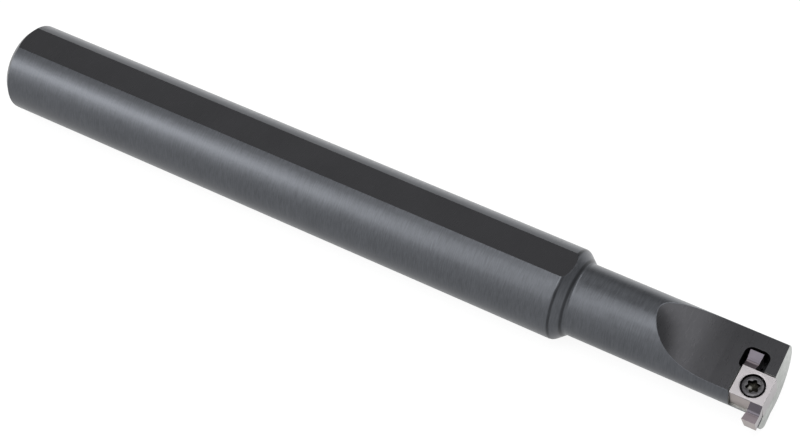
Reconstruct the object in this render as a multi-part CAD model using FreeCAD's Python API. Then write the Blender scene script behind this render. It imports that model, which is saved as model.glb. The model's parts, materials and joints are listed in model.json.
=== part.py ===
import FreeCAD, Part
import math
import os

# Internal grooving bar: a round steel shank with two clamping flats, a slimmer neck, and a head
# that carries a two-edged carbide insert under one small countersunk screw.
#
# Frame: origin at the centre of the back end face, +X along the bar to the cutting end,
# +Z square to the clamping flats, cutting side towards -Y. Millimetres.
#
# The head is milled in a plane that is rolled about the bar's axis, which gives the insert a
# negative radial rake and puts the active edge level with the axis. Head features are drawn in
# that rolled frame, with +Z square to the rake plane, and turned into place by in_head().

# Shank
TOTAL_LENGTH = 150.0
SHANK_R = 8.0
FLAT_HEIGHT = 7.5
SHANK_LENGTH = 112.0
BACK_CHAMFER = 1.0

# Shoulder between shank and neck
SHOULDER_ROUND = 1.25
SHOULDER_ANGLE = 40.0
ROOT_FILLET = 0.5
NECK_R = 6.3

# Head
HEAD_ROLL = 13.6
RAKE_HEIGHT = 2.83
RAKE_LENGTH = 9.76
RUNOUT_LENGTH = 12.3
RUNOUT_CUTTER_R = 19.7
RUNOUT_LEAN = 0.295
RUNOUT_PIVOT_Y = -1.22
RUNOUT_SECTIONS = 9
END_RELIEF = 3.0

# Insert, about its own centre, top face at zero height
INSERT_Y = -3.15
INSERT_HALF_X = 2.9
INSERT_HALF_Y = 2.62
INSERT_THICKNESS = 3.97
INSERT_CORNER_BREAK = 0.12
EDGE_WIDTH = 2.4
EDGE_REACH = 5.77
EDGE_DROP = 0.4
EDGE_OUTER_X = 3.1
GROOVE_REACH = 4.1
GROOVE_DROP = 0.87
GROOVE_HALF_WIDTH = 0.4
GROOVE_SAG = 0.1
FLANK_CLEARANCE = 8.0
SIDE_CLEARANCE_BACK = 3.0
SIDE_CLEARANCE_DOWN = 2.0

# Screw hole in the insert
HOLE_RIM_R = 2.24
HOLE_R = 2.075
HOLE_RIM_DEPTH = 0.28
HOLE_FLOOR_DEPTH = 0.9
HOLE_THROUGH_R = 1.38

# Clamping screw, M2.5 with a six-lobe socket
SCREW_R = 1.25
SCREW_HEAD_R = 1.78
SCREW_HEAD_DEPTH = 0.3
SCREW_HEAD_RIM = 0.35
SCREW_RIM_BREAK = 0.12
SCREW_CONE_HALF_ANGLE = 30.0
SCREW_END_DEPTH = 6.8
SCREW_END_BREAK = 0.35
SEAT_CLEARANCE = 0.02
THREAD_CLEARANCE = 0.05
SOCKET_OUTER_R = 1.195
SOCKET_INNER_R = 0.86
SOCKET_LOBE_R = 0.19
SOCKET_DEPTH = 0.85
SOCKET_TURN = 30.0

# Seat and clearance slot in the head
SEAT_BREAK_WIDTH = 0.25
SEAT_BREAK_DEPTH = 0.45
SLOT_LENGTH = 4.34
SLOT_BACK_GAP = 0.82
SLOT_EDGE_GAP = 0.35
SLOT_OVERRUN = 0.48
SLOT_CORNER_R = 1.3
SLOT_ENTRY_R = 0.8
SLOT_EXTRA_DEPTH = 0.5

# Support under the active edge
SUPPORT_SETBACK = 0.3
SUPPORT_R = 7.8
SUPPORT_BOTTOM = -5.6
SUPPORT_CORNER_R = 0.55
SUPPORT_INNER_Y = -2.0

# Worked out from the sizes above
INSERT_X = TOTAL_LENGTH - EDGE_OUTER_X
SEAT_BACK_X = INSERT_X - INSERT_HALF_X
SEAT_FAR_Y = INSERT_Y + INSERT_HALF_Y
SEAT_FLOOR = RAKE_HEIGHT - INSERT_THICKNESS
SLOT_BACK_X = SEAT_BACK_X - SLOT_BACK_GAP
SLOT_FRONT_X = SLOT_BACK_X + SLOT_LENGTH
SLOT_FAR_Y = INSERT_Y + EDGE_REACH + SLOT_EDGE_GAP
SLOT_NEAR_Y = SEAT_FAR_Y - SLOT_OVERRUN
SUPPORT_BACK_X = TOTAL_LENGTH - EDGE_WIDTH + SUPPORT_SETBACK
RUNOUT_END_X = TOTAL_LENGTH - RAKE_LENGTH

# Construction only: how far cutters reach outside the bar, past a surface that they cut, and into
# a body that they are fused to, and how close two positions count as the same
OUTSIDE = 12.0
OVERRUN = 1.0
OVERLAP = 1.6
CLOSE = 0.01

ORIGIN = FreeCAD.Vector(0, 0, 0)
AXIS_X = FreeCAD.Vector(1, 0, 0)
AXIS_Z = FreeCAD.Vector(0, 0, 1)


def vec(x, y, z):
    return FreeCAD.Vector(x, y, z)


def line(a, b):
    return Part.LineSegment(a, b).toShape()


def arc(a, middle, b):
    return Part.Arc(a, middle, b).toShape()


def polygon_face(points):
    return Part.Face(Part.makePolygon(points + points[:1]))


def in_head(shape):
    """Turn a shape drawn in the rake plane's frame into the bar's frame."""
    turned = shape.copy()
    turned.rotate(ORIGIN, AXIS_X, HEAD_ROLL)
    return turned


def at_insert(shape):
    """Move a shape drawn about the insert's centre and top face to its seat."""
    moved = shape.copy()
    moved.translate(vec(INSERT_X, INSERT_Y, RAKE_HEIGHT))
    return in_head(moved)


def box_between(low, high):
    size = high - low
    return Part.makeBox(size.x, size.y, size.z, low)


def turned_bar():
    """Shank, rounded shoulder with its cone, root fillet and neck, as one turned solid."""
    angle = math.radians(SHOULDER_ANGLE)

    def on_round(a):
        return vec(SHANK_LENGTH + SHOULDER_ROUND * math.sin(a), 0,
                   SHANK_R - SHOULDER_ROUND * (1 - math.cos(a)))

    cone_start = on_round(angle)
    cone_end_r = NECK_R + ROOT_FILLET * (1 - math.cos(angle))
    cone_end_x = cone_start.x + (cone_start.z - cone_end_r) / math.tan(angle)
    neck_start_x = cone_end_x + ROOT_FILLET * math.sin(angle)

    def on_fillet(a):
        return vec(neck_start_x - ROOT_FILLET * math.sin(a), 0,
                   NECK_R + ROOT_FILLET * (1 - math.cos(a)))

    far_x = TOTAL_LENGTH + OVERRUN
    chamfer_start = vec(0, 0, SHANK_R - BACK_CHAMFER)
    chamfer_end = vec(BACK_CHAMFER, 0, SHANK_R)
    neck_end = vec(far_x, 0, NECK_R)
    axis_end = vec(far_x, 0, 0)
    outline = Part.Wire([
        line(ORIGIN, chamfer_start),
        line(chamfer_start, chamfer_end),
        line(chamfer_end, on_round(0)),
        arc(on_round(0), on_round(angle / 2), cone_start),
        line(cone_start, on_fillet(angle)),
        arc(on_fillet(angle), on_fillet(angle / 2), on_fillet(0)),
        line(on_fillet(0), neck_end),
        line(neck_end, axis_end),
        line(axis_end, ORIGIN),
    ])
    return Part.Face(outline).revolve(ORIGIN, AXIS_X, 360)


def flat_cutters():
    """The two parallel clamping flats, run out through the shoulder."""
    start_x = -OVERRUN
    end_x = SHANK_LENGTH + SHANK_R
    above = box_between(vec(start_x, -OUTSIDE, FLAT_HEIGHT), vec(end_x, OUTSIDE, OUTSIDE))
    below = box_between(vec(start_x, -OUTSIDE, -OUTSIDE), vec(end_x, OUTSIDE, -FLAT_HEIGHT))
    return [above, below]


def runout_section(x):
    """Cutter section at x. Its lower edge falls along a circle of the cutter's radius to the
    rake plane, and leans towards the clamping flat's plane where it leaves the neck."""
    reach = RUNOUT_END_X - x
    rise = RUNOUT_CUTTER_R - math.sqrt(RUNOUT_CUTTER_R ** 2 - reach ** 2)
    lean = RUNOUT_LEAN * (reach / RUNOUT_LENGTH) ** 4

    def edge(y):
        return vec(x, y, RAKE_HEIGHT + rise - lean * (y - RUNOUT_PIVOT_Y))

    points = [edge(-OUTSIDE), edge(OUTSIDE), vec(x, OUTSIDE, 2 * OUTSIDE), vec(x, -OUTSIDE, 2 * OUTSIDE)]
    return Part.makePolygon(points + points[:1])


def rake_cutter():
    """The rake plane and the long concave run-out that leads up onto the neck."""
    span = RUNOUT_LENGTH + OVERRUN
    step = span / (RUNOUT_SECTIONS - 1)
    stations = [RUNOUT_END_X - span + step * i for i in range(RUNOUT_SECTIONS)]
    runout = Part.makeLoft([runout_section(x) for x in stations], True, False)
    plane = box_between(vec(RUNOUT_END_X, -OUTSIDE, RAKE_HEIGHT),
                        vec(TOTAL_LENGTH + OVERRUN, OUTSIDE, 2 * OUTSIDE))
    return [in_head(runout), in_head(plane)]


def end_cutter():
    """The front face, ground with a small relief so that the cutting corner stands foremost."""
    beyond = box_between(vec(0, -2 * OUTSIDE, -2 * OUTSIDE), vec(OUTSIDE, 2 * OUTSIDE, 2 * OUTSIDE))
    beyond.rotate(ORIGIN, AXIS_Z, END_RELIEF)
    beyond.translate(vec(INSERT_X + INSERT_HALF_X, INSERT_Y - INSERT_HALF_Y, 0))
    return in_head(beyond)


def edge_support():
    """The shelf that backs the active edge: an arc about the bar's axis and a rounded lower corner."""
    top = 0.0
    corner_centre_r = SUPPORT_R - SUPPORT_CORNER_R
    corner_z = SUPPORT_BOTTOM + SUPPORT_CORNER_R
    corner_y = -math.sqrt(corner_centre_r ** 2 - corner_z ** 2)
    corner_angle = math.atan2(corner_z, corner_y)
    middle_angle = (corner_angle - math.pi) / 2

    def on_support(a):
        return vec(SUPPORT_BACK_X, SUPPORT_R * math.cos(a), SUPPORT_R * math.sin(a))

    def on_corner(a):
        return vec(SUPPORT_BACK_X, corner_y + SUPPORT_CORNER_R * math.cos(a),
                   corner_z + SUPPORT_CORNER_R * math.sin(a))

    start = vec(SUPPORT_BACK_X, -SUPPORT_R, top)
    inner_top = vec(SUPPORT_BACK_X, SUPPORT_INNER_Y, top)
    inner_bottom = vec(SUPPORT_BACK_X, SUPPORT_INNER_Y, SUPPORT_BOTTOM)
    outline = Part.Wire([
        arc(start, on_support(middle_angle), on_support(corner_angle)),
        arc(on_corner(corner_angle), on_corner((corner_angle - math.pi / 2) / 2), on_corner(-math.pi / 2)),
        line(on_corner(-math.pi / 2), inner_bottom),
        line(inner_bottom, inner_top),
        line(inner_top, start),
    ])
    return in_head(Part.Face(outline).extrude(vec(TOTAL_LENGTH - SUPPORT_BACK_X, 0, 0)))


def seat_cutter():
    """The insert's seat, open to the front and to the cutting side, with broken upper edges."""
    low = vec(SEAT_BACK_X, -OUTSIDE, SEAT_FLOOR)
    high = vec(TOTAL_LENGTH + OVERRUN, SEAT_FAR_Y, OUTSIDE)
    seat = box_between(low, high)
    tip = RAKE_HEIGHT - SEAT_BREAK_DEPTH
    over = RAKE_HEIGHT + SEAT_BREAK_DEPTH
    far_break = polygon_face([
        vec(SLOT_FRONT_X, SEAT_FAR_Y, tip),
        vec(SLOT_FRONT_X, SEAT_FAR_Y + 2 * SEAT_BREAK_WIDTH, over),
        vec(SLOT_FRONT_X, SEAT_FAR_Y, over),
    ]).extrude(vec(high.x - SLOT_FRONT_X, 0, 0))
    back_break = polygon_face([
        vec(SEAT_BACK_X, SLOT_NEAR_Y, tip),
        vec(SEAT_BACK_X - 2 * SEAT_BREAK_WIDTH, SLOT_NEAR_Y, over),
        vec(SEAT_BACK_X, SLOT_NEAR_Y, over),
    ]).extrude(vec(0, -OUTSIDE - SLOT_NEAR_Y, 0))
    return [in_head(seat), in_head(far_break), in_head(back_break)]


def slot_cutter():
    """The deeper slot that clears the insert's second edge, with rounded corners."""
    floor = SEAT_FLOOR - SLOT_EXTRA_DEPTH
    height = OUTSIDE - floor
    slot = box_between(vec(SLOT_BACK_X, SLOT_NEAR_Y, floor), vec(SLOT_FRONT_X, SLOT_FAR_Y, OUTSIDE))

    def upright_edges(shape, y, x=None):
        edges = []
        for edge in shape.Edges:
            a, b = (vertex.Point for vertex in edge.Vertexes)
            in_place = abs(a.y - y) < CLOSE and (x is None or abs(a.x - x) < CLOSE)
            if abs(a.z - b.z) > height / 2 and in_place:
                edges.append(edge)
        return edges

    rounded = slot.makeFillet(SLOT_CORNER_R, upright_edges(slot, SLOT_FAR_Y))
    entry = upright_edges(rounded, SLOT_NEAR_Y, SLOT_BACK_X)
    return in_head(rounded.makeFillet(min(SLOT_ENTRY_R, SEAT_BACK_X - SLOT_BACK_X), entry))


def tapped_hole_cutter():
    """The screw's hole, through the seat and out of the underside of the head."""
    hole = Part.makeCylinder(SCREW_R + THREAD_CLEARANCE, 2 * OUTSIDE, vec(0, 0, -2 * OUTSIDE))
    return at_insert(hole)


def make_holder():
    bar = turned_bar().fuse(edge_support())
    cutters = flat_cutters() + rake_cutter() + [end_cutter()] + seat_cutter()
    cutters += [slot_cutter(), tapped_hole_cutter()]
    for cutter in cutters:
        bar = bar.cut(cutter)
    return bar.removeSplitter()


def groove_profile(x):
    """Side view of one cutting tip: from the top face down into the chip groove, up to the
    cutting edge, and down the relieved flank."""
    bottom = -INSERT_THICKNESS
    flank_run = (INSERT_THICKNESS - EDGE_DROP) * math.tan(math.radians(FLANK_CLEARANCE))
    body_y = -INSERT_HALF_Y
    groove_y = -GROOVE_REACH
    slope_end = vec(x, groove_y + GROOVE_HALF_WIDTH, GROOVE_SAG - GROOVE_DROP)
    groove_bottom = vec(x, groove_y, -GROOVE_DROP)
    land_start = vec(x, groove_y - GROOVE_HALF_WIDTH, GROOVE_SAG - GROOVE_DROP)
    edge_point = vec(x, -EDGE_REACH, -EDGE_DROP)
    flank_foot = vec(x, flank_run - EDGE_REACH, bottom)
    inner_top = vec(x, OVERLAP - INSERT_HALF_Y, 0)
    inner_bottom = vec(x, OVERLAP - INSERT_HALF_Y, bottom)
    return Part.Wire([
        line(inner_top, vec(x, body_y, 0)),
        line(vec(x, body_y, 0), slope_end),
        arc(slope_end, groove_bottom, land_start),
        line(land_start, edge_point),
        line(edge_point, flank_foot),
        line(flank_foot, inner_bottom),
        line(inner_bottom, inner_top),
    ])


def tip_plan(z):
    """Plan of one tip at height z: widest at the cutting edge, relieved backwards and downwards."""
    back = math.tan(math.radians(SIDE_CLEARANCE_BACK))
    down = math.tan(math.radians(SIDE_CLEARANCE_DOWN)) * -z
    inner_y = OVERLAP - INSERT_HALF_Y
    run = EDGE_REACH + inner_y
    outer_y = -EDGE_REACH - OVERRUN
    inner = EDGE_OUTER_X - EDGE_WIDTH
    points = [
        vec(inner + down - back * OVERRUN, outer_y, z),
        vec(EDGE_OUTER_X - down + back * OVERRUN, outer_y, z),
        vec(EDGE_OUTER_X - down - back * run, inner_y, z),
        vec(inner + down + back * run, inner_y, z),
    ]
    return Part.makePolygon(points + points[:1])


def cutting_tip():
    profile = Part.Face(groove_profile(0)).extrude(vec(OUTSIDE, 0, 0))
    plan = Part.makeLoft([tip_plan(CLOSE), tip_plan(-INSERT_THICKNESS - CLOSE)], True, True)
    return profile.common(plan)


def insert_hole():
    """Shallow rim, straight recess round the screw head, cone that the head bears on, bore."""
    cone = math.tan(math.radians(SCREW_CONE_HALF_ANGLE))
    head_bottom = SCREW_HEAD_DEPTH + SCREW_HEAD_RIM
    cone_r = SCREW_HEAD_R + SEAT_CLEARANCE - (HOLE_FLOOR_DEPTH - head_bottom) * cone
    cone_end = HOLE_FLOOR_DEPTH + (cone_r - HOLE_THROUGH_R) / cone
    return polygon_face([
        vec(0, 0, OVERRUN),
        vec(HOLE_RIM_R, 0, OVERRUN),
        vec(HOLE_RIM_R, 0, 0),
        vec(HOLE_R, 0, -HOLE_RIM_DEPTH),
        vec(HOLE_R, 0, -HOLE_FLOOR_DEPTH),
        vec(cone_r, 0, -HOLE_FLOOR_DEPTH),
        vec(HOLE_THROUGH_R, 0, -cone_end),
        vec(HOLE_THROUGH_R, 0, -INSERT_THICKNESS - OVERRUN),
        vec(0, 0, -INSERT_THICKNESS - OVERRUN),
    ]).revolve(ORIGIN, AXIS_Z, 360)


def make_insert():
    """Square carbide body with two cutting tips, alike after half a turn about the screw."""
    body = box_between(vec(-INSERT_HALF_X, -INSERT_HALF_Y, -INSERT_THICKNESS),
                       vec(INSERT_HALF_X, INSERT_HALF_Y, 0))

    def is_free_corner(edge):
        a, b = (vertex.Point for vertex in edge.Vertexes)
        return abs(a.z - b.z) > INSERT_THICKNESS / 2 and a.x * a.y > 0

    corners = [edge for edge in body.Edges if is_free_corner(edge)]
    body = body.makeChamfer(INSERT_CORNER_BREAK, corners)
    tip = cutting_tip()
    second_tip = tip.copy()
    second_tip.rotate(ORIGIN, AXIS_Z, 180)
    solid = body.fuse([tip, second_tip]).removeSplitter()
    return at_insert(solid.cut(insert_hole()).removeSplitter())


def lobe_socket():
    """Six-lobe socket: six small lobes joined by six larger hollows, all arcs tangent."""
    lobe_centre_r = SOCKET_OUTER_R - SOCKET_LOBE_R
    half_step = math.pi / 6
    cosine = math.cos(half_step)
    gap = lobe_centre_r ** 2 + SOCKET_INNER_R ** 2 - 2 * lobe_centre_r * SOCKET_INNER_R * cosine
    hollow_r = (gap - SOCKET_LOBE_R ** 2) / (2 * (SOCKET_LOBE_R + lobe_centre_r * cosine - SOCKET_INNER_R))
    hollow_centre_r = SOCKET_INNER_R + hollow_r

    def polar(r, a):
        turned = a + math.radians(SOCKET_TURN)
        return vec(r * math.cos(turned), r * math.sin(turned), 0)

    def tangent_point(lobe_angle, hollow_angle):
        lobe = polar(lobe_centre_r, lobe_angle)
        hollow = polar(hollow_centre_r, hollow_angle)
        return lobe + (hollow - lobe) * (SOCKET_LOBE_R / (SOCKET_LOBE_R + hollow_r))

    edges = []
    for i in range(6):
        lobe_angle = i * 2 * half_step
        before = tangent_point(lobe_angle, lobe_angle - half_step)
        after = tangent_point(lobe_angle, lobe_angle + half_step)
        following = tangent_point(lobe_angle + 2 * half_step, lobe_angle + half_step)
        edges.append(arc(before, polar(SOCKET_OUTER_R, lobe_angle), after))
        edges.append(arc(after, polar(SOCKET_INNER_R, lobe_angle + half_step), following))
    socket = Part.Face(Part.Wire(edges)).extrude(vec(0, 0, SOCKET_DEPTH + OVERRUN))
    socket.translate(vec(0, 0, -SCREW_HEAD_DEPTH - SOCKET_DEPTH))
    return socket


def make_clamping_screw():
    cone = math.tan(math.radians(SCREW_CONE_HALF_ANGLE))
    rim_bottom = SCREW_HEAD_DEPTH + SCREW_HEAD_RIM
    cone_bottom = rim_bottom + (SCREW_HEAD_R - SCREW_R) / cone
    screw = polygon_face([
        vec(0, 0, -SCREW_HEAD_DEPTH),
        vec(SCREW_HEAD_R - SCREW_RIM_BREAK, 0, -SCREW_HEAD_DEPTH),
        vec(SCREW_HEAD_R, 0, -SCREW_HEAD_DEPTH - SCREW_RIM_BREAK),
        vec(SCREW_HEAD_R, 0, -rim_bottom),
        vec(SCREW_R, 0, -cone_bottom),
        vec(SCREW_R, 0, SCREW_END_BREAK - SCREW_END_DEPTH),
        vec(SCREW_R - SCREW_END_BREAK, 0, -SCREW_END_DEPTH),
        vec(0, 0, -SCREW_END_DEPTH),
    ]).revolve(ORIGIN, AXIS_Z, 360)
    return at_insert(screw.cut(lobe_socket()))


NODES = {
    "holder": make_holder,
    "insert": make_insert,
    "clamping_screw": make_clamping_screw,
}

os.makedirs("parts", exist_ok=True)
for name, make in NODES.items():
    shape = make()
    solids = shape.Solids
    if len(solids) != 1 or not shape.isValid():
        raise RuntimeError(f"{name}: {len(solids)} solids, valid {shape.isValid()}")
    solids[0].exportStep(f"parts/{name}.step")
    box = solids[0].BoundBox
    print(f"{name}: {solids[0].Volume:.1f} mm3, X {box.XMin:.2f} to {box.XMax:.2f}, "
          f"Y {box.YMin:.2f} to {box.YMax:.2f}, Z {box.ZMin:.2f} to {box.ZMax:.2f}")
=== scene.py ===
"""Looks of an internal grooving bar: blackened steel bar, coated carbide insert, black clamping screw.

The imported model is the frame. Its bar and insert stay and get finishes; the screw is drawn again
with its real thread, and the tapped hole gets its thread below the screw's end. Lengths are metres,
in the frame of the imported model: the bar lies along +X with its back end at the origin, and +Z
stands square to the clamping flats.
"""

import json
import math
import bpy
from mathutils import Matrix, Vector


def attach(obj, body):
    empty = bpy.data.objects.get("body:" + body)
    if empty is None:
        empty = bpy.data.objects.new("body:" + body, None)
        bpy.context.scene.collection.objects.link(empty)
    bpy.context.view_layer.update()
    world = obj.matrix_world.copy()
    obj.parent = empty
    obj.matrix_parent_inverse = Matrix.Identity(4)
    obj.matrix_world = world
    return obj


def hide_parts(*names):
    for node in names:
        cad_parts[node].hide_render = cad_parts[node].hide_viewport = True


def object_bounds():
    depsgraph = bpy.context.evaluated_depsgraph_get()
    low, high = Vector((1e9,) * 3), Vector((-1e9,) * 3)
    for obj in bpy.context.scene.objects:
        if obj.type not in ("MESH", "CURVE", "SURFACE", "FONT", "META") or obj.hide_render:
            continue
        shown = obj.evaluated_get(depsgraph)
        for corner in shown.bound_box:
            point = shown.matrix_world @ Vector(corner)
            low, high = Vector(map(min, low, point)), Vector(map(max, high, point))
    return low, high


bl_info = {
    "name": "Grooving bar",
    "version": (1, 0, 0),
    "blender": (4, 5, 0),
    "location": "3D View > Sidebar > Grooving bar",
    "description": "Finishes, screw threads, light and camera for an internal grooving bar",
    "category": "Object",
}

import bpy
import numpy as np
from bpy.props import FloatProperty, FloatVectorProperty, IntProperty, PointerProperty, StringProperty
from bpy.types import Operator, Panel, PropertyGroup
from mathutils import Matrix, Vector

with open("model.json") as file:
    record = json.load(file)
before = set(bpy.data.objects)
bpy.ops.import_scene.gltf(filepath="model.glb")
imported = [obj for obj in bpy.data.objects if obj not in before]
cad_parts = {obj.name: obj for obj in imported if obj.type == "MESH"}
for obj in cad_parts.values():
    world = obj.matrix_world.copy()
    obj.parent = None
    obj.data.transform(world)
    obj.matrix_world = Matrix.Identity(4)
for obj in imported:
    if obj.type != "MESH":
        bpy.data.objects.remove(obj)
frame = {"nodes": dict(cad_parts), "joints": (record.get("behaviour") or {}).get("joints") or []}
CAD_LOW, CAD_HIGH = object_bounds()

MM = 0.001
SCREW_JOINT = frame["joints"][0]
SCREW_AXIS = Vector(SCREW_JOINT["axis"]).normalized()
SCREW_POINT = Vector(SCREW_JOINT["pos_m"])
HEAD_ROLL = math.atan2(-SCREW_AXIS.y, SCREW_AXIS.z)
# The screw's point with the head turned back upright, as the head's own masks see it
SCREW_SEAT = Matrix.Rotation(-HEAD_ROLL, 3, "X") @ SCREW_POINT

# Measures of the bar that masks and threads follow
FLAT_HEIGHT = 7.5 * MM
NECK_R = 6.3 * MM
HEAD_START_X = 120.0 * MM
SHOULDER_CORNER_X = 112.4 * MM
NECK_ROOT_X = 114.05 * MM
INSERT_HALF_Y = 2.62 * MM
HOLE_R = 1.3 * MM
SEAT_BACK_X = 144.0 * MM
SEAT_FAR_Y = -0.53 * MM
SEAT_FLOOR_Z = -1.14 * MM
RAKE_HEIGHT = 2.83 * MM
SEAT_EDGE_BREAK = 0.28 * MM
INSERT_HOLE_R = 2.09 * MM
INSERT_HOLE_RIM_R = 2.26 * MM
SCREW_MAJOR_R = 1.25 * MM
SCREW_HEAD_TOP = -0.3 * MM

# Margins by which a mask reaches past its surface, or stays short of the next one
SKIN = 0.02 * MM
NECK_SKIN = 0.06 * MM
FRONT_DEPTH = 1.2 * MM
BACK_DEPTH = 1.0 * MM

# Parts of the normal from which a face counts as square to the bar, upward, or a side
SQUARE_ON = 0.9
UPWARD = 0.3
SIDE_ON = 0.8
NEAR_SIDE = 0.12

# Sizes of the finishes' patterns
PATCH_SIZE = 7.143 * MM
CLOUD_SIZE = 2.222 * MM
GRAIN_SIZE = 0.5556 * MM
CARBIDE_CLOUD_SIZE = 2.0 * MM
CARBIDE_GRAIN_SIZE = 0.2 * MM
SCREW_GRAIN_SIZE = 0.4 * MM
TURNING_FEED = 0.35 * MM
# Painted shade: distances from the shoulder's corner and root over which the painted dark rings fade out
PAINTED_RING_FADE = (0.08 * MM, 0.34 * MM)
STRIP_WIDTH = 0.22 * MM
STRIP_TAPER = 0.04
# Painted highlight in the screw's socket: where its lighter patch sits and how it fades out; then how the
# socket floor's painted shade gives way to a less dark middle
SOCKET_HIGHLIGHT_SPOT = (-0.43 * MM, -0.1 * MM, -1.0 * MM)
SOCKET_HIGHLIGHT_FADE = (0.46 * MM, 0.3 * MM)
SOCKET_FLOOR_FADE = (0.9 * MM, 0.6 * MM)

# Noise lies mostly between these two values
NOISE_RANGE = (0.3, 0.7)


def linear(hex_colour):
    """sRGB hex colour to linear red, green, blue and alpha."""
    parts = [int(hex_colour[i:i + 2], 16) / 255 for i in (1, 3, 5)]
    return [c / 12.92 if c <= 0.04045 else ((c + 0.055) / 1.055) ** 2.4 for c in parts] + [1.0]


def node(tree, kind, *values, **settings):
    """Adds a shader node. The values go to its inputs in order, past those that are turned off.

    A setting in small letters is an attribute of the node, and one with a capital is an input. Each
    value is a number, a colour, a socket, or a node, which stands for its first output in use."""
    made = tree.nodes.new("ShaderNode" + kind)
    for key, value in settings.items():
        if key[0].islower():
            setattr(made, key, value)
    given = list(zip([socket for socket in made.inputs if socket.enabled], values))
    given += [(made.inputs[key.replace("_", " ")], value)
              for key, value in settings.items() if key[0].isupper()]
    for socket, value in given:
        if isinstance(value, bpy.types.Node):
            value = next(output for output in value.outputs if output.enabled)
        if isinstance(value, bpy.types.NodeSocket):
            tree.links.new(value, socket)
        else:
            socket.default_value = value
    return made


def product(tree, *values):
    """All the values multiplied. Of masks, it is 1 where every one of them is 1."""
    made = values[0]
    for value in values[1:]:
        made = node(tree, "Math", made, value, operation="MULTIPLY")
    return made


def within(tree, value, low, high):
    """Mask that is 1 where the value lies between two limits; a limit of None is open."""
    tests = ((low, "GREATER_THAN"), (high, "LESS_THAN"))
    return product(tree, *[node(tree, "Math", value, limit, operation=test)
                           for limit, test in tests if limit is not None])


def new_material(name):
    material = bpy.data.materials.new(name)
    material.use_nodes = True
    material.node_tree.nodes.clear()
    return material, material.node_tree


def finish_with(piece, material):
    piece.data.materials.clear()
    piece.data.materials.append(material)


def mesh_of(name, vertices, faces):
    mesh = bpy.data.meshes.new(name)
    mesh.from_pydata(vertices.tolist(), [], faces)
    mesh.update()
    return mesh


def closed_grid(name, points):
    """Mesh from a grid of points, rows by columns by 3. Columns close round on themselves; the
    first and last rows are single points repeated, so that both poles are closed by triangles."""
    rows, cols, _ = points.shape
    inner = points[1:-1].reshape(-1, 3)
    vertices = np.vstack([points[0, :1], inner, points[-1, :1]])
    row = np.arange(rows - 3)[:, None] * cols + 1
    col = np.arange(cols)[None, :]
    after = (col + 1) % cols
    quads = np.stack([row + col, row + after, row + cols + after, row + cols + col], -1).reshape(-1, 4)
    last = len(vertices) - 1
    first_ring = 1 + np.arange(cols)
    last_ring = last - cols + np.arange(cols)
    start_fan = np.stack([np.zeros(cols, int), np.roll(first_ring, -1), first_ring], -1)
    end_fan = np.stack([np.full(cols, last), last_ring, np.roll(last_ring, -1)], -1)
    return mesh_of(name, vertices, quads.tolist() + start_fan.tolist() + end_fan.tolist())


def ring_grid(name, points):
    """Mesh from a grid of points, rows by columns by 3, whose rows and columns both close round."""
    rows, cols, _ = points.shape
    row = np.arange(rows)[:, None]
    col = np.arange(cols)[None, :]
    next_row = (row + 1) % rows
    after = (col + 1) % cols
    corners = [row * cols + col, row * cols + after, next_row * cols + after, next_row * cols + col]
    quads = np.stack(np.broadcast_arrays(*corners), -1).reshape(-1, 4)
    return mesh_of(name, points.reshape(-1, 3), quads.tolist())


def add_piece(name, mesh, body):
    mesh.shade_smooth()
    mesh.set_sharp_from_angle(angle=math.radians(35))
    piece = bpy.data.objects.new(name, mesh)
    bpy.context.scene.collection.objects.link(piece)
    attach(piece, body)
    return piece


def placed_on_screw_axis(points):
    """Turns points drawn about +Z, with the insert's top face at zero, onto the screw's axis."""
    along = Vector((1, 0, 0))
    turn = Matrix((along, SCREW_AXIS.cross(along), SCREW_AXIS)).transposed()
    return points @ np.array(turn).T + np.array(SCREW_POINT)


def thread_wave(z, angle, pitch):
    """Clipped triangle wave of z / pitch - angle / turn: 0 in the roots, 1 on the crests."""
    phase = (z / pitch - angle / (2 * math.pi)) % 1.0
    return np.clip(1.25 * (1 - np.abs(2 * phase - 1)) - 0.08, 0, 1)


class BarFinish(PropertyGroup):
    round_colour: StringProperty(
        name="Round colour", default="#55575B",
        description="Blackened steel of the ground round surfaces, sRGB hex")
    milled_colour: StringProperty(
        name="Milled colour", default="#3C3C3E",
        description="Blackened steel of the flats and the head, sRGB hex")
    ground_colour: StringProperty(
        name="Bare ground colour", default="#B0B3B0",
        description="Bare ground front face and seat, sRGB hex")
    round_roughness: FloatProperty(
        name="Round roughness", default=0.36, min=0.0, max=1.0, subtype="FACTOR",
        description="Roughness of the ground round surfaces")
    milled_roughness: FloatProperty(
        name="Milled roughness", default=0.3, min=0.0, max=1.0, subtype="FACTOR",
        description="Roughness of flats and head")
    bare_rougher: FloatProperty(
        name="Bare steel rougher by", default=0.12, min=0.0, max=0.5, subtype="FACTOR",
        description="Roughness that the bare ground front face and seat have on top")
    streak_width: FloatProperty(
        name="Streak width", default=0.2 * MM, min=0.05 * MM, max=1.0 * MM, unit="LENGTH", precision=5,
        description="Width of one grinding streak along the bar")
    streak_length: FloatProperty(
        name="Streak length", default=1.8 * MM, min=0.1 * MM, max=20.0 * MM, unit="LENGTH", precision=5,
        description="Length of one grinding streak round the bar")
    # Painted shade: darkness of the rings painted round the shoulder's corner and root, standing in for a
    # dark reflection there
    painted_ring_shade: FloatProperty(
        name="Corner shade", default=0.45, min=0.0, max=1.0, subtype="FACTOR",
        description="Darkness of the unground rings at the shoulder's corner and root")
    edge_radius: FloatProperty(
        name="Edge radius", default=0.1 * MM, min=0.0, max=1.0 * MM, unit="LENGTH", precision=5,
        description="Rounding of tumbled edges that the light catches")


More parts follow.
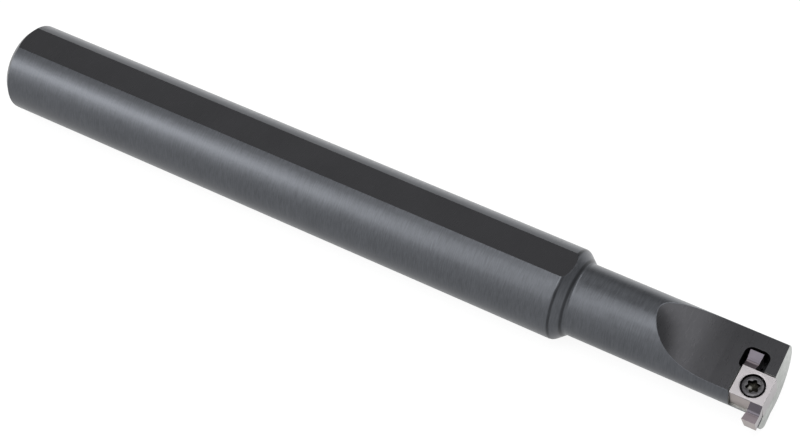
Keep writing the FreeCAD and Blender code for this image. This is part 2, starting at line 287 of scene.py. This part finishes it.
class InsertFinish(PropertyGroup):
    coating_colour: StringProperty(
        name="Coating colour", default="#A6A2A4",
        description="Coated carbide, sRGB hex")
    # Long sides and flanks, drawn a little darker and warmer than the coating
    side_colour: StringProperty(
        name="Side colour", default="#9D9492",
        description="Coated carbide on the coarser ground long sides and flanks, sRGB hex")
    # Painted light: the lighter colour of the groove faces turned away from the near side
    groove_lit_colour: StringProperty(
        name="Far groove colour", default="#93898E",
        description="Coated carbide of the groove faces ground from the far side, sRGB hex")
    groove_shaded_colour: StringProperty(
        # Painted shade: the darker colour of the groove faces turned to the near side
        name="Near groove colour", default="#575359",
        description="Coated carbide of the groove faces ground from the near side, sRGB hex")
    # Painted highlight: the hole's chamfer is painted near white, standing in for the light it catches
    rim_highlight_colour: StringProperty(
        name="Hole rim colour", default="#EDE9EB",
        description="Polished chamfer of the screw hole, sRGB hex")
    # Painted shade: the screw hole's wall is painted nearly black, as the shadowed gap round the screw head
    hole_shade_colour: StringProperty(
        name="Hole colour", default="#1E1D1F",
        description="Unground skin in the screw hole, sRGB hex")
    roughness: FloatProperty(
        name="Roughness", default=0.36, min=0.0, max=1.0, subtype="FACTOR",
        description="Roughness of the ground carbide")
    rim_rougher: FloatProperty(
        name="Rim rougher by", default=0.35, min=0.0, max=0.6, subtype="FACTOR",
        description="Roughness that the rim of the screw hole has on top")
    edge_radius: FloatProperty(
        name="Edge radius", default=0.05 * MM, min=0.0, max=0.5 * MM, unit="LENGTH", precision=5,
        description="Rounding of the insert's edges that the light catches")


class ScrewShape(PropertyGroup):
    colour: StringProperty(
        name="Screw colour", default="#4A494B",
        description="Black oxide, sRGB hex")
    # Painted shade: the socket is painted nearly black where the light does not reach into it
    socket_shade_colour: StringProperty(
        name="Socket colour", default="#12110F",
        description="Oily black skin in the socket, sRGB hex")
    # Painted shade: the middle of the socket's floor, painted a little less dark than its lobes
    floor_colour: StringProperty(
        name="Socket floor colour", default="#1C1B18",
        description="Middle of the socket's floor, sRGB hex")
    # Painted highlight: a lighter patch painted in the socket, standing in for a reflection there
    socket_highlight_colour: StringProperty(
        name="Worn colour", default="#63625F",
        description="Patch in the socket that the key has rubbed bright, sRGB hex")
    roughness: FloatProperty(
        name="Roughness", default=0.34, min=0.0, max=1.0, subtype="FACTOR",
        description="Roughness of the black oxide")
    pitch: FloatProperty(
        name="Thread pitch", default=0.45 * MM, min=0.2 * MM, max=1.0 * MM, unit="LENGTH", precision=5,
        description="Axial advance of one turn")
    columns: IntProperty(
        name="Columns", default=144, min=24, max=360,
        description="Points round the screw")


class StageLook(PropertyGroup):
    floor_colour: StringProperty(
        name="Floor colour", default="#F2F2F2",
        description="Pale floor, sRGB hex")
    light_scale: FloatProperty(
        name="Light scale", default=1.0, min=0.0, max=10.0,
        description="Factor on every soft box")
    floor_glow: FloatProperty(
        name="Floor brightness", default=0.79, min=0.0, max=3.0,
        description="Brightness of the near floor as the metal mirrors it")
    floor_glow_far: FloatProperty(
        name="Far floor brightness", default=1.3, min=0.0, max=3.0,
        description="Brightness of the far floor as the metal mirrors it")
    floor_seen: FloatProperty(
        name="Floor as seen", default=0.89, min=0.0, max=1.0,
        description="Brightness of the floor to the camera, where its shadow grey adds the rest")
    shadow_grey: FloatProperty(
        name="Shadow grey", default=0.16, min=0.0, max=1.0,
        description="Grey of the floor that takes the bar's shadow")
    sky_near: FloatProperty(
        name="Near horizon", default=1.17, min=0.0, max=3.0,
        description="World brightness low on the camera's side")
    sky_far: FloatProperty(
        name="Far side", default=0.25, min=0.0, max=3.0,
        description="World brightness above the far horizon")
    far_horizon: FloatProperty(
        name="Far horizon", default=1.1, min=0.0, max=3.0,
        description="World brightness along the far horizon")
    sky_high: FloatProperty(
        name="Overhead brightness", default=0.63, min=0.0, max=3.0,
        description="World brightness overhead")
    lens: FloatProperty(
        name="Lens", default=96.51, min=20.0, max=300.0, unit="CAMERA",
        description="Focal length on a 36 mm wide sensor")
    camera_place: FloatVectorProperty(
        name="Camera place", default=(0.2154905, -0.1994664, 0.2747926), size=3,
        subtype="TRANSLATION", unit="LENGTH",
        description="Where the camera stands")


def bar_material(look):
    """Steel turned, ground and milled, then blackened with oxide: a dark, slightly blue mirror on the ground
    rounds, blurred by short fine marks round the bar, and a darker, plainer one on the milled flats and head.
    Soft dark rings are painted round the shoulder's corner and root as painted shade, standing in for a dark
    reflection there. The front face and the seat are ground again afterwards and are bare and mottled. The
    back face keeps the rings of its turning."""
    material, tree = new_material("blackened_ground_steel")
    place = node(tree, "TexCoord")
    spot = place.outputs["Object"]
    x, y, z = node(tree, "SeparateXYZ", spot).outputs
    forward = node(tree, "SeparateXYZ", place.outputs["Normal"]).outputs[0]
    radius = node(tree, "VectorMath", node(tree, "CombineXYZ", 0.0, y, z), operation="LENGTH")
    rolled = node(tree, "VectorRotate", Vector=spot, Angle=-HEAD_ROLL, rotation_type="X_AXIS")
    _, across, above = node(tree, "SeparateXYZ", rolled).outputs

    # Where each surface lies
    on_flat = within(tree, node(tree, "Math", z, operation="ABSOLUTE"), FLAT_HEIGHT - SKIN, None)
    inside = within(tree, radius, None, NECK_R - NECK_SKIN)
    on_head = product(tree, inside, within(tree, x, HEAD_START_X, None))
    milled = node(tree, "Math", on_flat, on_head, operation="MAXIMUM")
    on_front = product(tree, within(tree, x, CAD_HIGH.x - FRONT_DEPTH, None),
                       within(tree, forward, SQUARE_ON, None))
    on_back = product(tree, within(tree, x, None, BACK_DEPTH), within(tree, forward, None, -SQUARE_ON))
    in_seat = product(tree, inside, within(tree, x, SEAT_BACK_X - SEAT_EDGE_BREAK, None),
                      within(tree, across, None, SEAT_FAR_Y + SEAT_EDGE_BREAK),
                      within(tree, above, SEAT_FLOOR_Z - SKIN, RAKE_HEIGHT - SKIN))
    bare = node(tree, "Math", on_front, in_seat, operation="MAXIMUM")

    # Short streaks round the bar, soft patches on the oxide, and mottle on the bare steel
    marks = node(tree, "Mapping", Vector=spot,
                 Scale=(1 / look.streak_width, 1 / look.streak_length, 1 / look.streak_length))
    streaks = node(tree, "TexNoise", Vector=marks, Scale=1.0, Detail=3.0, Roughness=0.65)
    patches = node(tree, "TexNoise", Vector=spot, Scale=1 / PATCH_SIZE, Detail=3.0)
    grain = node(tree, "TexNoise", Vector=spot, Scale=1 / GRAIN_SIZE, Detail=4.0, Roughness=0.7)
    clouds = node(tree, "TexNoise", Vector=spot, Scale=1 / CLOUD_SIZE, Detail=3.0)

    streaked = node(tree, "MapRange", streaks, *NOISE_RANGE, 0.84, 1.16)
    streaked = node(tree, "Mix", milled, streaked, 1.0, data_type="FLOAT")
    # Painted shade: soft dark rings round the shoulder's corner and root, standing in for a dark reflection
    # in the rounding and the root
    to_corner, to_root = [
        node(tree, "Math", node(tree, "Math", x, ring, operation="SUBTRACT"), operation="ABSOLUTE")
        for ring in (SHOULDER_CORNER_X, NECK_ROOT_X)]
    to_ring = node(tree, "Math", to_corner, to_root, operation="MINIMUM")
    painted_shade = node(tree, "MapRange", to_ring, *PAINTED_RING_FADE, look.painted_ring_shade, 1.0,
                    interpolation_type="SMOOTHSTEP")
    painted_shade = node(tree, "Math", painted_shade, on_flat, operation="MAXIMUM")
    shade = product(tree, streaked, node(tree, "MapRange", patches, *NOISE_RANGE, 0.96, 1.04), painted_shade)
    steel = node(tree, "Mix", milled, linear(look.round_colour), linear(look.milled_colour), data_type="RGBA")
    oxide = node(tree, "Mix", 1.0, steel, shade, data_type="RGBA", blend_type="MULTIPLY")
    mottle = product(tree, node(tree, "MapRange", grain, *NOISE_RANGE, 0.84, 1.1),
                     node(tree, "MapRange", clouds, *NOISE_RANGE, 0.8, 1.12))
    ground = node(tree, "Mix", 1.0, linear(look.ground_colour), mottle,
                  data_type="RGBA", blend_type="MULTIPLY")
    colour = node(tree, "Mix", bare, oxide, ground, data_type="RGBA")

    rings = node(tree, "Math", radius, 2 * math.pi / TURNING_FEED, operation="MULTIPLY")
    rings = node(tree, "Math", rings, operation="SINE")
    height = node(tree, "Mix", milled, streaks, patches, data_type="FLOAT")
    height = node(tree, "Mix", on_back, height, rings, data_type="FLOAT")
    rounded = node(tree, "Bevel", Radius=look.edge_radius, samples=4)
    bump = node(tree, "Bump", Strength=0.5, Distance=0.008 * MM, Height=height, Normal=rounded)
    rough = node(tree, "Mix", milled, look.round_roughness, look.milled_roughness, data_type="FLOAT")
    rough = product(tree, rough, node(tree, "MapRange", streaks, *NOISE_RANGE, 0.86, 1.14))
    rough = node(tree, "Math", bare, look.bare_rougher, rough, operation="MULTIPLY_ADD")
    shader = node(tree, "BsdfPrincipled", Metallic=1.0, Base_Color=colour, Roughness=rough, Normal=bump)
    node(tree, "OutputMaterial", Surface=shader)
    return material


def insert_material(look):
    """Sintered carbide, ground and thinly coated: pale metal with a touch of pink and a fine matt grain, a
    little darker and warmer on its long sides and flanks, darker and bluer in the finely ground chip grooves
    and the strip where they run out along the sides. Of the groove faces, those turned to the near side are
    painted darker as shade, and the others are painted lighter as lit. The rim of the screw hole is painted
    near white as a highlight, and the hole is painted nearly black as shade. The grain is drawn coarser than
    it is, so that it shows."""
    material, tree = new_material("coated_ground_carbide")
    place = node(tree, "TexCoord")
    spot, facing = [
        node(tree, "VectorRotate", Vector=place.outputs[name], Angle=-HEAD_ROLL, rotation_type="X_AXIS")
        for name in ("Object", "Normal")]
    x, y, z = node(tree, "SeparateXYZ", spot).outputs
    _, sideways, up = node(tree, "SeparateXYZ", facing).outputs
    along = node(tree, "Math", x, SCREW_SEAT.x, operation="SUBTRACT")
    aside = node(tree, "Math", y, SCREW_SEAT.y, operation="SUBTRACT")

    in_tip = within(tree, node(tree, "Math", aside, operation="ABSOLUTE"), INSERT_HALF_Y - SKIN, None)
    below_top = within(tree, z, None, SCREW_SEAT.z - SKIN / 2)
    in_groove = product(tree, in_tip, below_top, within(tree, up, UPWARD, None))
    on_side = within(tree, node(tree, "Math", sideways, operation="ABSOLUTE"), SIDE_ON, None)

    # The groove's slope starts all along the side as a narrow strip that widens towards the tip
    outwards = product(tree, node(tree, "Math", aside, operation="SIGN"), along)
    strip = node(tree, "Math", outwards, -STRIP_TAPER, STRIP_WIDTH, operation="MULTIPLY_ADD")
    strip_edge = node(tree, "Math", SCREW_SEAT.z, strip, operation="SUBTRACT")
    on_strip = product(tree, on_side, node(tree, "Math", z, strip_edge, operation="GREATER_THAN"))
    in_groove = node(tree, "Math", in_groove, on_strip, operation="MAXIMUM")
    # Painted light and shade: groove faces turned to the near side take the dark shaded colour, the others
    # the lighter lit colour
    groove = node(tree, "Mix", within(tree, sideways, None, NEAR_SIDE),
                  linear(look.groove_lit_colour), linear(look.groove_shaded_colour), data_type="RGBA")

    from_axis = node(tree, "VectorMath", node(tree, "CombineXYZ", along, aside), operation="LENGTH")
    in_hole = within(tree, from_axis, None, INSERT_HOLE_R)
    on_rim = product(tree, below_top, within(tree, from_axis, INSERT_HOLE_R, INSERT_HOLE_RIM_R))
    colour = linear(look.coating_colour)
    for mask, other in (
            (on_side, linear(look.side_colour)),
            (in_groove, groove),
            (in_hole, linear(look.hole_shade_colour)),
            (on_rim, linear(look.rim_highlight_colour))):
        colour = node(tree, "Mix", mask, colour, other, data_type="RGBA")

    grain = node(tree, "TexNoise", Vector=place.outputs["Object"], Scale=1 / CARBIDE_GRAIN_SIZE, Detail=2.0)
    clouds = node(tree, "TexNoise", Vector=place.outputs["Object"], Scale=1 / CARBIDE_CLOUD_SIZE, Detail=2.0)
    clouds = node(tree, "MapRange", clouds, *NOISE_RANGE, 0.93, 1.05)
    colour = node(tree, "Mix", 1.0, colour, clouds, data_type="RGBA", blend_type="MULTIPLY")
    rough = node(tree, "Math", on_rim, look.rim_rougher, look.roughness, operation="MULTIPLY_ADD")
    rounded = node(tree, "Bevel", Radius=look.edge_radius, samples=4)
    bump = node(tree, "Bump", Strength=0.2, Distance=0.003 * MM, Height=grain, Normal=rounded)
    shader = node(tree, "BsdfPrincipled", Metallic=1.0, Roughness=rough, Base_Color=colour, Normal=bump)
    node(tree, "OutputMaterial", Surface=shader)
    return material


def screw_material(look):
    """Headed and rolled alloy steel with black oxide: dark grey, semi-matt and slightly mottled. The socket
    is painted nearly black as shade, a little less dark in the middle of its floor, with one lighter patch
    painted as a highlight."""
    material, tree = new_material("black_oxide_screw_steel")
    place = node(tree, "TexCoord").outputs["Object"]
    grain = node(tree, "TexNoise", Vector=place, Scale=1 / SCREW_GRAIN_SIZE, Detail=3.0)
    spot = node(tree, "VectorMath", place, tuple(SCREW_POINT), operation="SUBTRACT")
    spot = node(tree, "VectorRotate", Vector=spot, Angle=-HEAD_ROLL, rotation_type="X_AXIS")
    x, y, z = node(tree, "SeparateXYZ", spot).outputs
    radius = node(tree, "VectorMath", node(tree, "CombineXYZ", x, y), operation="LENGTH")
    in_socket = product(tree, within(tree, radius, None, SCREW_MAJOR_R),
                        within(tree, z, SCREW_HEAD_TOP - 1.2 * MM, SCREW_HEAD_TOP - 0.06 * MM))

    smooth = {"interpolation_type": "SMOOTHSTEP"}
    # Painted shade: nearly black socket, a little less dark in the middle of its floor
    centre = node(tree, "MapRange", radius, *SOCKET_FLOOR_FADE, 0.0, 1.0, **smooth)
    socket = node(tree, "Mix", centre, linear(look.socket_shade_colour), linear(look.floor_colour),
                  data_type="RGBA")
    # Painted highlight: one ragged lighter patch in the socket
    ragged = node(tree, "Math", grain, 0.5, operation="SUBTRACT")
    from_patch = node(tree, "VectorMath", spot, SOCKET_HIGHLIGHT_SPOT, operation="DISTANCE")
    from_patch = node(tree, "Math", ragged, 0.5 * MM, from_patch, operation="MULTIPLY_ADD")
    socket_highlight = node(tree, "MapRange", from_patch, *SOCKET_HIGHLIGHT_FADE, 0.0, 1.0, **smooth)
    socket = node(tree, "Mix", socket_highlight, socket, linear(look.socket_highlight_colour), data_type="RGBA")
    colour = node(tree, "Mix", in_socket, linear(look.colour), socket, data_type="RGBA")
    mottle = node(tree, "MapRange", grain, *NOISE_RANGE, 0.75, 1.3)
    colour = node(tree, "Mix", 1.0, colour, mottle, data_type="RGBA", blend_type="MULTIPLY")
    bump = node(tree, "Bump", Strength=0.3, Distance=0.006 * MM, Height=grain)
    shader = node(tree, "BsdfPrincipled", Metallic=1.0, Roughness=look.roughness,
                  Base_Color=colour, Normal=bump)
    node(tree, "OutputMaterial", Surface=shader)
    return material


def screw_points(look):
    """Whole screw as one grid about +Z, rows from the centre of its end, up the thread, round the
    head and down into the socket.

    The thread's radius at height z and angle a is root + depth * wave(z / pitch - a / turn). The
    socket's rim is radius mean - swing * cos(6 a), six lobes with the first at 30 degrees."""
    angle = np.linspace(0, 2 * math.pi, look.columns, endpoint=False)
    end, end_break, head_bottom = -6.8 * MM, 0.35 * MM, -0.65 * MM
    end_r, major, root, blank = 0.8 * MM, SCREW_MAJOR_R, 0.975 * MM, 1.12 * MM
    head_r, head_top, rim_break = 1.78 * MM, SCREW_HEAD_TOP, 0.12 * MM
    rim_fall, flat_r, flat_break = 0.05 * MM, 1.38 * MM, 0.04 * MM
    cone_bottom = head_bottom - (head_r - major) / math.tan(math.radians(30))
    thread_top = cone_bottom - 0.9 * MM
    z = np.arange(end + 0.02 * MM, thread_top, look.pitch / 14)
    wave = thread_wave(z[:, None], angle[None, :], look.pitch)
    lead_in = np.clip((z - end) / end_break, 0, 1)[:, None]
    run_out = np.clip((thread_top - z) / (1.2 * look.pitch), 0, 1)[:, None]
    radius = root + (major - root) * wave * lead_in
    radius = radius * run_out + blank * (1 - run_out)
    socket_r = (1.03 - 0.165 * np.cos(6 * angle)) * MM
    socket_floor = head_top - 0.85 * MM

    def ring(r, height):
        r = np.broadcast_to(np.asarray(r, float), angle.shape)
        return np.stack([r * np.cos(angle), r * np.sin(angle), np.full_like(angle, height)], -1)

    rows = [ring(0, end), ring(end_r, end)]
    rows += [ring(r, height) for r, height in zip(radius, z)]
    rows += [ring(blank, cone_bottom - 0.12 * MM), ring(major, cone_bottom)]
    rows += [ring(major + 0.01 * MM, cone_bottom + 0.02 * MM)]
    rows += [ring(head_r - 0.01 * MM, head_bottom - 0.02 * MM), ring(head_r, head_bottom)]
    for t in np.linspace(0, math.pi / 2, 5):
        rim_height = head_top - rim_fall - rim_break * (1 - math.sin(t))
        rows += [ring(head_r - rim_break * (1 - math.cos(t)), rim_height)]
    rows += [ring(flat_r + flat_break, head_top), ring(flat_r, head_top)]
    rows += [ring(socket_r + 0.05 * MM, head_top), ring(socket_r + 0.012 * MM, head_top - 0.012 * MM)]
    rows += [ring(socket_r, head_top - 0.05 * MM), ring(socket_r, socket_floor + 0.03 * MM)]
    rows += [ring(socket_r - 0.03 * MM, socket_floor)]
    rows += [ring(0.5 * MM, socket_floor - 0.08 * MM), ring(0, socket_floor - 0.16 * MM)]
    return np.array(rows)


def hole_thread_points(look):
    """Thread in the tapped hole below the screw's end, as a thin sleeve about +Z.

    Its inner radius is hole - depth * wave(z / pitch - a / turn), and depth fades to nothing where
    the hole runs out of the round underside, so that the sleeve never stands out of the bar."""
    top, bottom, depth = -6.95 * MM, -9.2 * MM, 0.22 * MM
    wall, clear = 0.004 * MM, 0.05 * MM
    angle = np.linspace(0, 2 * math.pi, look.columns, endpoint=False)[None, :]
    z = np.arange(top, bottom, -look.pitch / 14)[:, None]
    outer = HOLE_R - wall
    across = SCREW_SEAT.y + outer * np.sin(angle)
    lowest = clear - np.sqrt(NECK_R ** 2 - across ** 2) - SCREW_SEAT.z
    z_kept = np.maximum(z, lowest)
    fade = np.clip((z - lowest) / (0.5 * look.pitch), 0, 1)
    inner = outer - wall - depth * thread_wave(z_kept, angle, look.pitch) * fade

    def sleeve(r):
        r = np.broadcast_to(r, z_kept.shape)
        return np.stack([r * np.cos(angle), r * np.sin(angle), z_kept], -1)

    return np.concatenate([sleeve(inner), sleeve(outer)[::-1]])


class GROOVEBAR_OT_bar(Operator):
    """Give the bar its blackened, ground and milled finish, and its hole the thread"""
    bl_idname = "groovebar.bar"
    bl_label = "Bar"

    def execute(self, context):
        material = bar_material(context.scene.groovebar_bar)
        finish_with(frame["nodes"]["holder"], material)
        points = placed_on_screw_axis(hole_thread_points(context.scene.groovebar_screw))
        mesh = ring_grid("tapped_hole_thread", points)
        thread = add_piece("tapped_hole_thread", mesh, "bar")
        finish_with(thread, material)
        return {"FINISHED"}


class GROOVEBAR_OT_insert(Operator):
    """Give the insert its coated carbide finish"""
    bl_idname = "groovebar.insert"
    bl_label = "Insert"

    def execute(self, context):
        finish_with(frame["nodes"]["insert"], insert_material(context.scene.groovebar_insert))
        return {"FINISHED"}


class GROOVEBAR_OT_screw(Operator):
    """Draw the clamping screw with its thread and six-lobe socket"""
    bl_idname = "groovebar.screw"
    bl_label = "Clamping screw"

    def execute(self, context):
        look = context.scene.groovebar_screw
        mesh = closed_grid("clamping_screw_threaded", placed_on_screw_axis(screw_points(look)))
        screw = add_piece("clamping_screw_threaded", mesh, "screw")
        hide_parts("clamping_screw")
        finish_with(screw, screw_material(look))
        return {"FINISHED"}


class GROOVEBAR_OT_stage(Operator):
    """Set up the pale floor, the studio light and the camera"""
    bl_idname = "groovebar.stage"
    bl_label = "Stage"

    def execute(self, context):
        scene = context.scene
        look = scene.groovebar_stage
        scene.view_settings.view_transform = "Standard"
        make_floor(look)
        make_world(scene, look)
        make_lights(look)
        make_camera(scene, look)
        return {"FINISHED"}


def make_floor(look):
    """Pale floor under the bar: white to the camera but for the bar's soft shadow. The metal
    mirrors it as brighter beyond the bar than on the camera's side."""
    half = 3.0
    z = CAD_LOW.z - SKIN
    corners = np.array([(-half, -half, z), (half, -half, z), (half, half, z), (-half, half, z)])
    floor = bpy.data.objects.new("floor", mesh_of("floor", corners, [(0, 1, 2, 3)]))
    bpy.context.scene.collection.objects.link(floor)
    material, tree = new_material("pale_floor_paint")
    ray = node(tree, "LightPath")
    by_camera, by_gloss = ray.outputs["Is Camera Ray"], ray.outputs["Is Glossy Ray"]
    y = node(tree, "SeparateXYZ", node(tree, "TexCoord").outputs["Object"]).outputs[1]
    mirrored = node(tree, "MapRange", y, 0.0, 30.0 * MM, look.floor_glow, look.floor_glow_far,
                    interpolation_type="SMOOTHSTEP")
    glow = node(tree, "Mix", by_camera, mirrored, look.floor_seen, data_type="FLOAT")
    white = node(tree, "Emission", Color=(1, 1, 1, 1), Strength=glow)
    grey = node(tree, "BsdfDiffuse", Color=(look.shadow_grey, look.shadow_grey, look.shadow_grey, 1.0))
    shown = node(tree, "Math", by_camera, by_gloss, operation="MAXIMUM")
    painted = node(tree, "BsdfDiffuse", Color=linear(look.floor_colour))
    either = node(tree, "MixShader", shown, painted, node(tree, "AddShader", grey, white))
    node(tree, "OutputMaterial", Surface=either)
    finish_with(floor, material)


def make_world(scene, look):
    """White to the camera. To the object, bright near the horizon all round and dimmer overhead,
    with a darker wall above the far horizon, as in a white room whose ceiling is unlit."""
    world = bpy.data.worlds.new("white_room")
    scene.world = world
    world.use_nodes = True
    tree = world.node_tree
    tree.nodes.clear()
    _, y, z = node(tree, "SeparateXYZ", node(tree, "TexCoord").outputs["Generated"]).outputs
    smooth = {"interpolation_type": "SMOOTHSTEP"}
    far = node(tree, "MapRange", z, 0.0, 0.3, look.far_horizon, look.sky_far, **smooth)
    low = node(tree, "MapRange", y, -0.4, 0.4, look.sky_near, far, **smooth)
    level = node(tree, "MapRange", z, 0.1, 0.7, low, look.sky_high, **smooth)
    by_camera = node(tree, "LightPath").outputs["Is Camera Ray"]
    strength = node(tree, "Mix", by_camera, level, 1.0, data_type="FLOAT")
    node(tree, "OutputWorld", Surface=node(tree, "Background", Color=(1, 1, 1, 1), Strength=strength))


def stand(thing, place, right, back):
    """Puts a lamp or camera at a place, with its own X along right and its own Z along back."""
    axes = Matrix((right, back.cross(right), back)).transposed()
    thing.matrix_world = Matrix.Translation(place) @ axes.to_4x4()


# Soft boxes round the bar: name, where along the bar, angle about it from +Y, distance, length along
# the bar, breadth, and power. Each faces the bar's axis.
SOFT_BOXES = (
    ("near_back", -0.22, 138.0, 0.4, 0.16, 0.14, 0.42),
    ("near_back_wide", -0.22, 138.0, 0.4, 0.16, 0.42, 0.25),
    ("near_middle", -0.06, 136.0, 0.4, 0.16, 0.3, 0.26),
    ("over_neck", 0.10, 106.0, 0.4, 0.16, 0.28, 0.5),
    ("over_front", 0.26, 66.0, 0.4, 0.16, 0.32, 0.4),
    ("far_back", -0.14, 50.0, 0.4, 0.32, 0.14, 0.066),
)


def make_lights(look):
    """Rectangular soft boxes, each with its length along the bar."""
    for name, x, angle, distance, length, breadth, power in SOFT_BOXES:
        light = bpy.data.lights.new(name, "AREA")
        light.shape = "RECTANGLE"
        light.size = length
        light.size_y = breadth
        light.energy = power * look.light_scale
        lamp = bpy.data.objects.new(name, light)
        bpy.context.scene.collection.objects.link(lamp)
        back = Vector((0, math.cos(math.radians(angle)), math.sin(math.radians(angle))))
        stand(lamp, Vector((x, 0, 0)) + distance * back, Vector((1, 0, 0)), back)


def make_camera(scene, look):
    """Camera solved from the measured outline: its place, and its right and back axes."""
    camera = bpy.data.cameras.new("photo_view")
    camera.sensor_width = 36.0
    camera.lens = look.lens
    camera.clip_start = 0.01
    camera.clip_end = 20.0
    eye = bpy.data.objects.new("photo_view", camera)
    scene.collection.objects.link(eye)
    back = Vector((0.371539, -0.545308, 0.751398)).normalized()
    right = Vector((0.85407, 0.518092, -0.046314))
    right = (right - right.dot(back) * back).normalized()
    stand(eye, Vector(look.camera_place), right, back)
    scene.camera = eye


class GROOVEBAR_PT_panel(Panel):
    """Buttons that build each group"""
    bl_label = "Grooving bar"
    bl_idname = "GROOVEBAR_PT_panel"
    bl_space_type = "VIEW_3D"
    bl_region_type = "UI"
    bl_category = "Grooving bar"

    def draw(self, context):
        for operator in OPERATORS:
            self.layout.operator(operator.bl_idname)


GROUPS = {
    "groovebar_bar": BarFinish,
    "groovebar_insert": InsertFinish,
    "groovebar_screw": ScrewShape,
    "groovebar_stage": StageLook,
}
OPERATORS = (GROOVEBAR_OT_bar, GROOVEBAR_OT_insert, GROOVEBAR_OT_screw, GROOVEBAR_OT_stage)


def register():
    for name, group in GROUPS.items():
        bpy.utils.register_class(group)
        setattr(bpy.types.Scene, name, PointerProperty(type=group))
    for operator in OPERATORS:
        bpy.utils.register_class(operator)
    bpy.utils.register_class(GROOVEBAR_PT_panel)


def unregister():
    bpy.utils.unregister_class(GROOVEBAR_PT_panel)
    for operator in reversed(OPERATORS):
        bpy.utils.unregister_class(operator)
    for name, group in GROUPS.items():
        delattr(bpy.types.Scene, name)
        bpy.utils.unregister_class(group)


def main():
    register()
    bpy.ops.groovebar.bar()
    bpy.ops.groovebar.insert()
    bpy.ops.groovebar.screw()
    bpy.ops.groovebar.stage()


if __name__ == "__main__":
    main()
